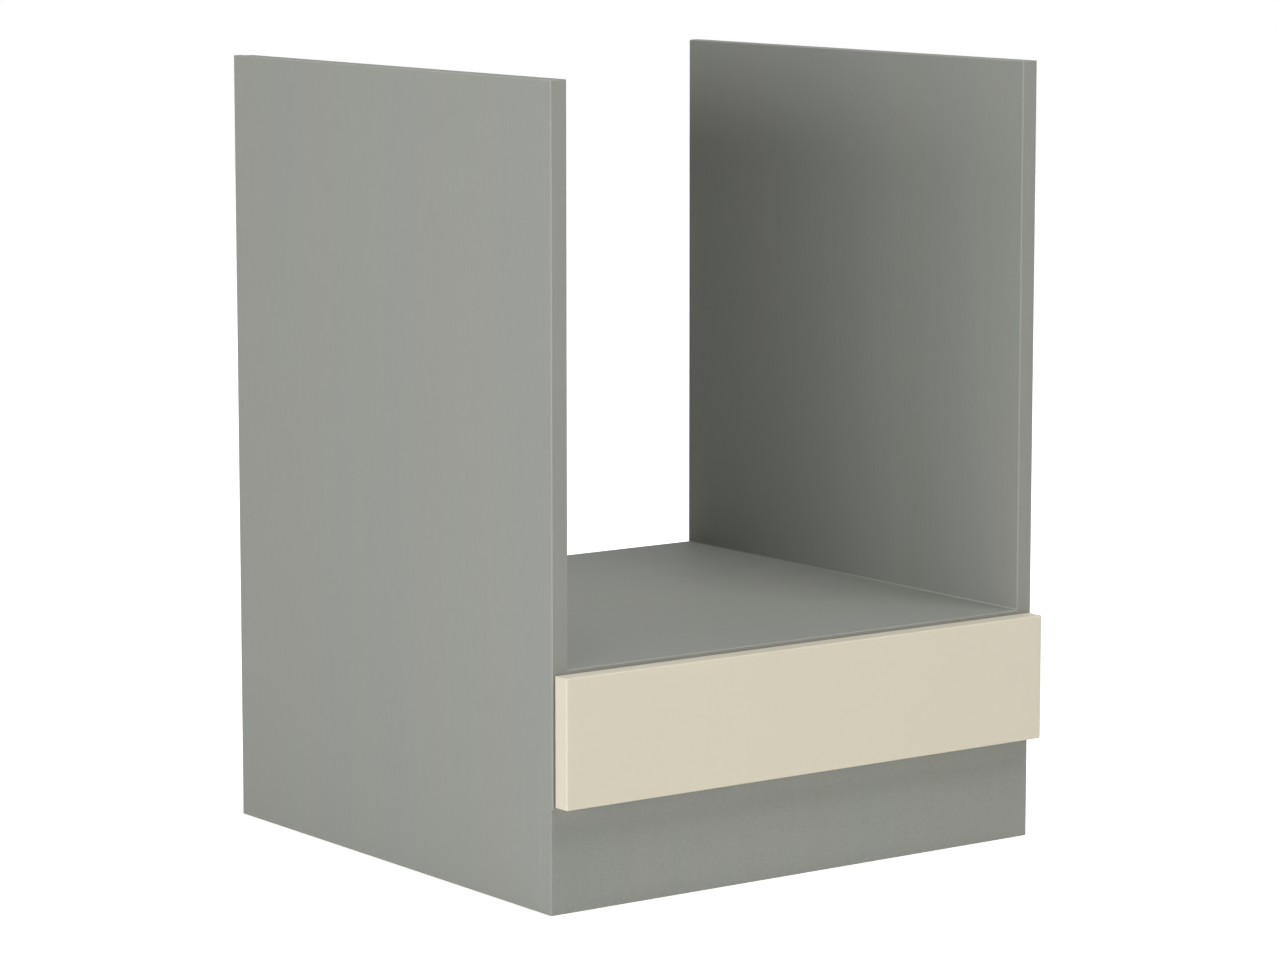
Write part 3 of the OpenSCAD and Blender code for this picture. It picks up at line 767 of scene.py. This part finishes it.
runner = {
    "thickness": 1.2 * mm,
    "lip": 3.7 * mm,
    "bendRadius": 1.9 * mm,
    "slotSize": (5 * mm, 9 * mm, 4.2 * mm),
    "slotShares": (0.17, 0.33, 0.67, 0.83),
    "screwHole": (5 * mm, 3.6 * mm, 3.6 * mm),
    "pinHole": (5 * mm, 5.1 * mm, 5.1 * mm),
    "rollerRoom": 2 * mm,
    "stopGap": 0.3 * mm,
    "stopHeight": 4 * mm,
}
wall = {
    "thickness": 1.2 * mm,
    "bendRadius": 1.6 * mm,
    "ledge": 14 * mm,
    "hem": 9 * mm,
    "hemLip": 6 * mm,
    "trackPlay": 0.2 * mm,
    "trackLip": 4 * mm,
    "weldFlange": 9 * mm,
    "tabWidth": 22 * mm,
    "tabEdge": 4 * mm,
    "tabBendRadius": 1.08 * mm,
}


def cabinetRunner(name, node, side):
    # a channel whose top ends behind the front roller, with a stop for the drawer's roller
    low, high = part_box("left_cabinet_runner")
    width, height, lip = high.x - low.x, high.z - low.z, runner["lip"]
    topEndY = cabinetRoller[1].y + runner["rollerRoom"]
    place = axes((1, 0, 0), (0, 0, 1), (0, -1, 0), (low.x, high.y, low.z))
    bm = bmesh.new()
    foldStrip(bm, [(width, height - lip), (width, height), (0, height), (0, 0), (width, 0), (width, lip)],
              runner["bendRadius"], place, high.y - topEndY)
    place.translation.y = topEndY
    foldStrip(bm, [(0, height - runner["bendRadius"]), (0, 0), (width, 0), (width, lip)],
              runner["bendRadius"], place, topEndY - low.y)
    bmesh.ops.remove_doubles(bm, verts=bm.verts, dist=meshing["touching"])
    cutters = bmesh.new()
    for share in runner["slotShares"]:
        centre = (low.x, low.y + share * (high.y - low.y), low.z + height / 2)
        slotCutter(cutters, centre, runner["slotSize"], acrossX)
    for box in solidBoxes("runner_screws"):
        if box[0].x < 0:
            centre = middleOf(box)
            slotCutter(cutters, (low.x, centre.y, centre.z), runner["screwHole"], acrossX)
    centre = middleOf(cabinetRoller)
    slotCutter(cutters, (low.x, centre.y, centre.z), runner["pinHole"], acrossX)
    cutAway(bm, cutters, runner["thickness"])
    cutters.free()
    stop = bmesh.new()
    bmesh.ops.create_cube(stop, size=1)
    bmesh.ops.scale(stop, vec=(width, runner["thickness"], runner["stopHeight"]), verts=stop.verts)
    stopY = drawerRoller[0].y - slideTravel - runner["stopGap"] - runner["thickness"] / 2
    stopZ = high.z - runner["thickness"] - runner["stopHeight"] / 2
    joinInto(bm, stop, Matrix.Translation((low.x + width / 2, stopY, stopZ)))
    stop.free()
    if side > 0:
        mirrorAcross(bm)
    return newPiece(name, bm, node, coatedSteel, steel["edgeRadius"])


def drawerSide(name, node, side):
    # a folded wall with a ledge below and a hem above, its welded-on track, and a tab behind the back
    low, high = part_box("left_drawer_side")
    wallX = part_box("left_front_bracket")[0].x
    outerX = wallX - wall["thickness"]
    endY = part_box("drawer_back")[1].y
    trackZ = cabinetRoller[1].z + wall["trackPlay"]
    ledgeZ = low.z + wall["thickness"]
    place = axes((1, 0, 0), (0, 0, 1), (0, -1, 0), (0, endY, 0))
    bm = bmesh.new()
    foldStrip(bm, [(outerX + wall["ledge"], ledgeZ), (wallX, ledgeZ), (wallX, high.z),
                   (wallX - wall["hem"], high.z), (wallX - wall["hem"], high.z - wall["hemLip"])],
              wall["bendRadius"], place, endY - low.y)
    foldStrip(bm, [(low.x, trackZ + wall["trackLip"]), (low.x, trackZ), (outerX, trackZ),
                   (outerX, trackZ + wall["weldFlange"])], wall["bendRadius"], place, endY - low.y)
    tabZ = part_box("drawer_bottom")[1].z + wall["tabEdge"]
    tabHeight = high.z - wall["hemLip"] - wall["tabEdge"] - tabZ
    foldStrip(bm, [(outerX + wall["tabWidth"], high.y), (outerX, high.y), (outerX, endY)],
              wall["tabBendRadius"], Matrix.Translation((0, 0, tabZ)), tabHeight)
    cutters = bmesh.new()
    centre = middleOf(drawerRoller)
    slotCutter(cutters, (wallX, centre.y, centre.z), runner["pinHole"], acrossX)
    cutAway(bm, cutters, wall["thickness"])
    cutters.free()
    if side > 0:
        mirrorAcross(bm)
    return newPiece(name, bm, node, coatedSteel, steel["edgeRadius"])


print("folding the steel")
cabinetRunner("leftRunnerChannel", "left_cabinet_runner", -1)
cabinetRunner("rightRunnerChannel", "right_cabinet_runner", 1)
drawerSide("leftDrawerWall", "left_drawer_side", -1)
drawerSide("rightDrawerWall", "right_drawer_side", 1)

# rollers, pins and brackets

roller = {
    "boreRadius": 2.55 * mm,
    "hubWall": 2 * mm,
    "rimWall": 2.5 * mm,
    "dish": 0.8 * mm,
    "edgeRadius": 0.25 * mm,
    "edgeSegments": 3,
    "steps": 64,
}
bracket = {
    "thickness": 1.5 * mm,
    "bendRadius": 2.6 * mm,
    "cornerRadius": 3 * mm,
}
angle = {
    "thickness": 2 * mm,
    "bendRadius": 3.2 * mm,
    "cornerRadius": 5 * mm,
}


def rollerPiece(name, node):
    low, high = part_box(node)
    width, radius, bore, dish = high.x - low.x, (high.z - low.z) / 2, roller["boreRadius"], roller["dish"]
    hub, rim = bore + roller["hubWall"], radius - roller["rimWall"]
    half = [(bore, 0), (hub, 0), (hub, dish), (rim, dish), (rim, 0), (radius, 0)]
    otherHalf = [(point, width - depth) for point, depth in half[::-1]]
    bm = spun(half + otherHalf, roller["steps"], closed=True)
    edges = [edge for edge in bm.edges if edge.calc_face_angle(0) > meshing["arrisAngle"]]
    roundEdges(bm, edges, roller["edgeRadius"], roller["edgeSegments"])
    centre = middleOf((low, high))
    place = axes((0, 1, 0), (0, 0, 1), (1, 0, 0), (low.x, centre.y, centre.z))
    bmesh.ops.transform(bm, matrix=place, verts=bm.verts)
    return newPiece(name, bm, node, whiteNylon)


def frontBracket(name, node, side):
    low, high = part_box("left_front_bracket")
    bm = bmesh.new()
    foldStrip(bm, [(low.x, high.y), (low.x, low.y), (high.x, low.y)], bracket["bendRadius"],
              Matrix.Translation((0, 0, low.z)), high.z - low.z, bracket["cornerRadius"])
    cutAway(bm, thickness=bracket["thickness"])
    if side > 0:
        mirrorAcross(bm)
    return newPiece(name, bm, node, zincPlating, steel["edgeRadius"])


def plinthAngles(name, node):
    bm = bmesh.new()
    for low, high in solidBoxes(node):
        place = axes((0, 1, 0), (0, 0, 1), (1, 0, 0), (low.x, 0, 0))
        foldStrip(bm, [(high.y, high.z), (low.y, high.z), (low.y, low.z)], angle["bendRadius"],
                  place, high.x - low.x, angle["cornerRadius"])
    cutAway(bm, thickness=angle["thickness"])
    return newPiece(name, bm, node, zincPlating, steel["edgeRadius"])


print("making the rollers, pins and brackets")
for name, node in (("leftCabinetRollerWheel", "left_cabinet_roller"),
                   ("rightCabinetRollerWheel", "right_cabinet_roller"),
                   ("leftDrawerRollerWheel", "left_drawer_roller"),
                   ("rightDrawerRollerWheel", "right_drawer_roller")):
    rollerPiece(name, node)
frontBracket("leftFrontFixingBracket", "left_front_bracket", -1)
frontBracket("rightFrontFixingBracket", "right_front_bracket", 1)
plinthAngles("plinthAngleBrackets", "plinth_angles")
for name, node, finish in (("cabinetRollerAxles", "cabinet_roller_pins", zincPlating),
                           ("drawerRollerAxles", "drawer_roller_pins", zincPlating),
                           ("camBoltStuds", "cam_bolts", zincPlating),
                           ("camLockDiscs", "cam_locks", castZinc)):
    newPiece(name, copyOfNode(node), node, finish)

# screws, nails, rivets, dowels and bumpers

screw = {
    "headRadius": 3.5 * mm,
    "headHeight": 1.4 * mm,
    "crown": 0.8 * mm,
    "sink": 1.75 * mm,  # height of a countersunk head
    "recess": (4.2 * mm, 0.85 * mm, 1.6 * mm),
    "neck": 2 * mm,
    "coreRadius": 1.25 * mm,
    "crestRadius": 1.74 * mm,
    "rootDepth": 0.1 * mm,
    "threadHalf": 0.35 * mm,
    "pitch": 1.4 * mm,
    "tip": 3 * mm,
    "domeSteps": 5,
    "steps": 24,
    "stepsPerTurn": 12,
}
nail = {
    "headRadius": 1.54 * mm,
    "headHeight": 0.6 * mm,
    "crown": 0.3 * mm,
    "radius": 0.7 * mm,
    "tip": 1.6 * mm,
    "domeSteps": 5,
    "steps": 20,
}
rivet = {
    "headRadius": 3.6 * mm,
    "headHeight": 1 * mm,
    "radius": 2 * mm,
    "domeSteps": 5,
    "steps": 28,
}
dowel = {
    "chamfer": 1 * mm,
    "fluteDepth": 0.3 * mm,
    "steps": 48,
}
bumper = {
    "crown": 0.45 * mm,
    "domeSteps": 6,
    "steps": 40,
}


def dome(radius, height, steps):
    # points from the crown at height nought out to the rim
    turns = [k / steps * math.pi / 2 for k in range(steps + 1)]
    return [(radius * math.sin(turn), height * (1 - math.cos(turn))) for turn in turns]


def screwThread(start, end):
    bm = bmesh.new()
    root, rise = screw["coreRadius"] - screw["rootDepth"], screw["threadHalf"]
    points = [(root, -rise), (screw["crestRadius"], 0), (root, rise)]
    verts = [bm.verts.new((radius, 0, start + height)) for radius, height in points]
    edges = [bm.edges.new((verts[k], verts[(k + 1) % 3])) for k in range(3)]
    turns = (end - start) / screw["pitch"]
    steps = round(turns * screw["stepsPerTurn"])
    bmesh.ops.spin(bm, geom=verts + edges, cent=(0, 0, 0), axis=(0, 0, 1),
                   dvec=(0, 0, (end - start) / steps), angle=turns * math.tau, steps=steps,
                   use_merge=False, use_duplicate=False)
    bmesh.ops.holes_fill(bm, edges=[edge for edge in bm.edges if edge.is_boundary], sides=3)
    bmesh.ops.recalc_face_normals(bm, faces=bm.faces)
    return bm


def screwPattern(head, length):
    # a head's profile, then the core, the cross recess and the thread
    tip = length - screw["tip"]
    bm = spun(head + [(screw["coreRadius"], tip), (0, length)], screw["steps"])
    for turn in (0, math.pi / 2):  # one bar at a time, because bars that cross each other cut nothing
        bar = bmesh.new()
        bmesh.ops.create_cube(bar, size=1)
        bmesh.ops.scale(bar, vec=screw["recess"], verts=bar.verts)
        bmesh.ops.rotate(bar, cent=(0, 0, 0), matrix=Matrix.Rotation(turn, 3, "Z"), verts=bar.verts)
        cutAway(bm, bar)
        bar.free()
    headHeight = head[-1][1]
    thread = screwThread(headHeight + screw["neck"], tip)
    joinInto(bm, thread)
    thread.free()
    return bm


def panScrew(length):
    head = dome(screw["headRadius"], screw["crown"], screw["domeSteps"])
    head += [(screw["headRadius"], screw["headHeight"]), (screw["coreRadius"], screw["headHeight"])]
    return screwPattern(head, length)


def countersunkScrew(length):
    return screwPattern([(0, 0), (screw["headRadius"], 0), (screw["coreRadius"], screw["sink"])], length)


def roundNail(length):
    head = dome(nail["headRadius"], nail["crown"], nail["domeSteps"])
    head += [(nail["headRadius"], nail["headHeight"]), (nail["radius"], nail["headHeight"])]
    return spun(head + [(nail["radius"], length - nail["tip"]), (0, length)], nail["steps"])


def domeRivet(length):
    head = dome(rivet["headRadius"], rivet["headHeight"], rivet["domeSteps"])
    head.append((rivet["radius"], rivet["headHeight"]))
    otherHead = [(radius, length - height) for radius, height in head[::-1]]
    return spun(head + otherHead, rivet["steps"])


def flutedDowel(length):
    low, high = solidBoxes("wooden_dowels")[0]
    radius = min(high - low) / 2
    inner, chamfer = radius - dowel["chamfer"], dowel["chamfer"]
    bm = spun([(0, 0), (inner, 0), (radius, chamfer), (radius, length - chamfer), (inner, length),
               (0, length)], dowel["steps"])
    for vert in bm.verts:  # straight flutes, every other step
        turn = round(math.atan2(vert.co.y, vert.co.x) / math.tau * dowel["steps"])
        if turn % 2 and vert.co.xy.length > radius - meshing["touching"]:
            vert.co.xy *= 1 - dowel["fluteDepth"] / radius
    return bm


def lengthAxis(low, high):
    size = high - low
    return max(range(3), key=lambda k: size[k])


def fixingPiece(name, node, pattern, axis=None, material=zincPlating):
    # each head lies at its box's end, with the point outwards along x, forwards along y or up;
    # a fixing lies along its box's longest side where no axis is given
    boxes = solidBoxes(node)
    low, high = boxes[0]
    firstAxis = lengthAxis(low, high) if axis is None else axis
    fixing = pattern((high - low)[firstAxis])
    bm = bmesh.new()
    for low, high in boxes:
        lies = lengthAxis(low, high) if axis is None else axis
        along = Vector((0, 0, 0))
        along[lies] = (math.copysign(1, low.x), -1, 1)[lies]
        start = middleOf((low, high)) - along * (high - low)[lies] / 2
        side = Vector((1, 0, 0)) if lies == acrossZ else Vector((0, 0, 1))
        joinInto(bm, fixing, axes(side, along.cross(side), along, start))
    fixing.free()
    return newPiece(name, bm, node, material)


def bumperPads(name, node):
    bm = bmesh.new()
    for low, high in solidBoxes(node):
        radius, height, centre = (high.x - low.x) / 2, high.y - low.y, middleOf((low, high))
        crown = dome(radius, bumper["crown"], bumper["domeSteps"])
        profile = [(point, height - drop) for point, drop in crown] + [(radius, 0), (0, 0)]
        pad = spun(profile, bumper["steps"])
        joinInto(bm, pad, axes((1, 0, 0), (0, 0, -1), (0, 1, 0), (centre.x, low.y, centre.z)))
        pad.free()
    return newPiece(name, bm, node, clearRubber)


print("making the small fixings")
for name, node in (("runnerPanScrews", "runner_screws"),
                   ("plinthAnglePanScrews", "plinth_angle_screws"),
                   ("frontBracketPanScrews", "front_bracket_screws"),
                   ("drawerBackPanScrews", "drawer_back_screws")):
    fixingPiece(name, node, panScrew)
fixingPiece("drawerBottomLongScrews", "drawer_bottom_screws", countersunkScrew)
fixingPiece("backPanelRoundNails", "back_panel_nails", roundNail)
fixingPiece("frontBracketDomeRivets", "front_bracket_rivets", domeRivet, acrossX)
fixingPiece("flutedBeechDowels", "wooden_dowels", flutedDowel, material=beechMaterial())
bumperPads("frontRubberBumpers", "front_bumpers")

# camera

view = {
    "place": (-2.7366, -3.74865, 1.0356),
    "pitchDown": 0.14341,
    "turnRight": 0.63129,
    "focalPixels": 4538.0,
    "pictureWidth": 1280,
    "sensorWidth": 36,
}
cameraData = bpy.data.cameras.new("studioCamera")
cameraData.sensor_width = view["sensorWidth"]
cameraData.lens = view["focalPixels"] / view["pictureWidth"] * view["sensorWidth"]
camera = bpy.data.objects.new("studioCamera", cameraData)
camera.location = view["place"]
camera.rotation_euler = (math.pi / 2 - view["pitchDown"], 0, -view["turnRight"])
scene.collection.objects.link(camera)
scene.camera = camera

# studio

studio = {
    "worldLevel": 0.03,
    "floorRadius": 9,
    "floorSegments": 96,
    "floorDrop": 0.5 * mm,
    "floorColour": srgb(244, 244, 242),
    "floorRoughness": 0.9,
    "floorGlow": 0.7,
    "glowReach": (0.7, 1.9),
    "lamps": {
        "leftLamp": {"place": (-5.5, -0.6, 1.0), "size": (2.4, 1.8), "watts": 92, "tint": (1, 1, 1)},
        "sideLamp": {"place": (-4.65, -3.0, 0.85), "size": (2.4, 1.4), "watts": 118, "tint": (1, 1, 0.99)},
        "frontLamp": {"place": (2.2, -5.2, 1.0), "size": (3.0, 1.8), "watts": 40, "tint": (1, 0.98, 0.95)},
        "topLamp": {"place": (0.2, -1.6, 4.6), "size": (3.2, 3.6), "watts": 154, "tint": (1, 1, 0.99)},
        "rightLamp": {"place": (5.4, -0.1, 0.8), "size": (1.2, 1.4), "watts": 84, "tint": (1, 1, 1)},
        "backLamp": {"place": (0.6, 5.5, 0.45), "size": (2.6, 0.8), "watts": 58, "tint": (1, 1, 1)},
    },
    "aim": (0, 0, 0.4),
}


def seenDirectly(tree):
    path = addNode(tree, "LightPath")
    seen = calculate(tree, "MAXIMUM", path.outputs["Is Camera Ray"], path.outputs["Is Glossy Ray"])
    return calculate(tree, "MAXIMUM", seen, path.outputs["Is Transmission Ray"])


def floorMaterial():
    # pale under the object, and white further out where it is seen directly
    material, tree, shader, coords = startMaterial(
        "paleFloor", Roughness=studio["floorRoughness"], Specular_IOR_Level=0,
        Base_Color=studio["floorColour"], Emission_Color=(1, 1, 1, 1))
    reach = addNode(tree, "VectorMath", {0: coords}, operation="LENGTH").outputs["Value"]
    glow = remap(tree, reach, *studio["glowReach"], studio["floorGlow"], 1, smooth=True)
    glow = calculate(tree, "MULTIPLY", seenDirectly(tree), glow)
    tree.links.new(glow, shader.inputs["Emission Strength"])
    return material


print("setting up the studio")
world = bpy.data.worlds.new("studioWorld")
scene.world = world
world.use_nodes = True
background = world.node_tree.nodes["Background"]
background.inputs["Color"].default_value = (1, 1, 1, 1)
level = remap(world.node_tree, seenDirectly(world.node_tree), 0, 1, studio["worldLevel"], 1)
world.node_tree.links.new(level, background.inputs["Strength"])

disc = bmesh.new()
bmesh.ops.create_circle(disc, cap_ends=True, segments=studio["floorSegments"], radius=studio["floorRadius"])
floorMesh = bpy.data.meshes.new("studioFloor")
disc.to_mesh(floorMesh)
disc.free()
floorMesh.materials.append(floorMaterial())
floor = bpy.data.objects.new("studioFloor", floorMesh)
floor.location.z = -studio["floorDrop"]
scene.collection.objects.link(floor)

for name, lamp in studio["lamps"].items():
    lampData = bpy.data.lights.new(name, "AREA")
    lampData.shape = "RECTANGLE"
    lampData.size, lampData.size_y = lamp["size"]
    lampData.energy = lamp["watts"]
    lampData.color = lamp["tint"]
    lampObject = bpy.data.objects.new(name, lampData)
    lampObject.location = lamp["place"]
    aim = Vector(studio["aim"]) - Vector(lamp["place"])
    lampObject.rotation_euler = aim.to_track_quat("-Z", "Y").to_euler()
    scene.collection.objects.link(lampObject)

scene.view_settings.view_transform = "Standard"
